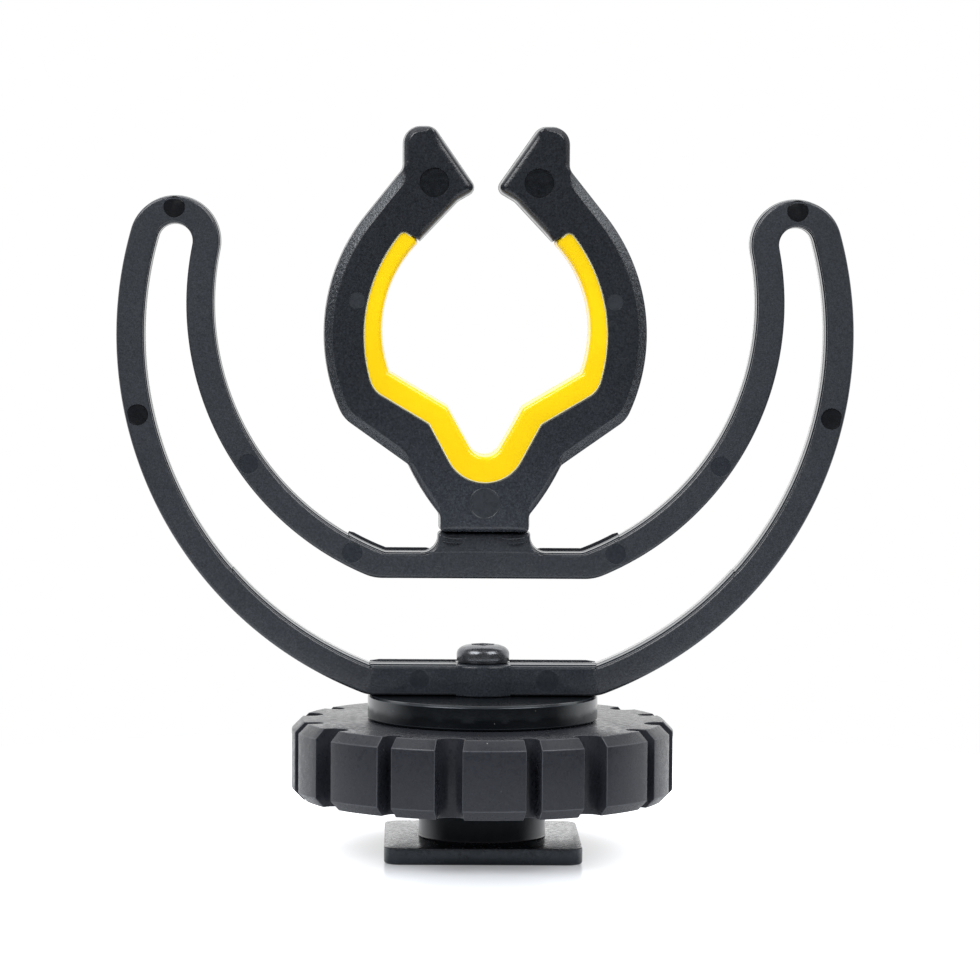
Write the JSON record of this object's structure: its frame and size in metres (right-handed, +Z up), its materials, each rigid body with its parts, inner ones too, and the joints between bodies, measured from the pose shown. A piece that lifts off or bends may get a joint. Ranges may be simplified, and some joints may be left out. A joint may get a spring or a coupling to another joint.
{
  "type": "lyre shock mount for an on-camera microphone",
  "caption": "Lyre-shaped sprung cradle with a snap clip for a microphone, standing on a disc with a knurled locking ring and a foot for a camera accessory shoe.",
  "frame": {"origin": "middle of the underside of the shoe plate", "axes": "+Z up, +X to the right seen from the front, the front looks along -Y and the microphone barrel lies along Y"},
  "size_m": [0.0694, 0.0362, 0.0687],
  "materials": {
    "foot_metal": "satin black, bead-blasted upper face",
    "neck_metal": "satin black anodised",
    "black_steel": "glossy black oxide",
    "pin_steel": "ground",
    "ring_plastic": "matt, fine grain",
    "disc_metal": "semi-gloss black anodised",
    "lyre_plastic": "matt, fine grain",
    "clip_plastic": "fine grain with a slight sheen",
    "lining_elastomer": "smooth soft elastomer"
  },
  "bodies": {
    "foot": {"shoe_plate": "foot_metal", "foot_screw": "black_steel", "threaded_neck": "neck_metal", "platform_disc": "disc_metal", "locating_pin": "pin_steel", "lyre_screw": "black_steel", "lyre_outer_cradle": "lyre_plastic"},
    "washer": {"clamp_washer": "neck_metal"},
    "ring": {"locking_ring": "ring_plastic"},
    "cradle": {"lyre_inner_cradle": "lyre_plastic"},
    "clip": {"clip_base": "clip_plastic", "base_lining": "lining_elastomer"},
    "left_jaw": {"left_jaw": "clip_plastic", "left_lining": "lining_elastomer"},
    "right_jaw": {"right_jaw": "clip_plastic", "right_lining": "lining_elastomer"}
  },
  "joints": [
    {"name": "ring_feed", "type": "slide", "parent": "foot", "child": "washer", "axis": [0, 0, 1], "range_m": [-0.0027, 0]},
    {"name": "ring_spin", "type": "hinge", "parent": "washer", "child": "ring", "pos_m": [0, 0, 0.00893], "axis": [0, 0, 1], "range_deg": [-972, 0]},
    {"name": "cradle_swing", "type": "hinge", "parent": "foot", "child": "cradle", "pos_m": [0, 0, 0.06065], "axis": [1, 0, 0], "range_deg": [-6, 6], "stiffness_Nm_per_rad": 0.15},
    {"name": "clip_bounce", "type": "slide", "parent": "cradle", "child": "clip", "axis": [0, 0, 1], "range_m": [-0.002, 0.002], "stiffness_N_per_m": 800, "deforming": ["lyre_inner_cradle"]},
    {"name": "left_jaw_flex", "type": "hinge", "parent": "clip", "child": "left_jaw", "pos_m": [-0.00725, 0, 0.0368], "axis": [0, -1, 0], "range_deg": [0, 19], "stiffness_Nm_per_rad": 0.3},
    {"name": "right_jaw_flex", "type": "hinge", "parent": "clip", "child": "right_jaw", "pos_m": [0.00725, 0, 0.0368], "axis": [0, 1, 0], "range_deg": [0, 19], "stiffness_Nm_per_rad": 0.3}
  ],
  "couplings": [
    {"joint": "ring_spin", "follows": "ring_feed", "rad_per_m": 6283.2}
  ]
}
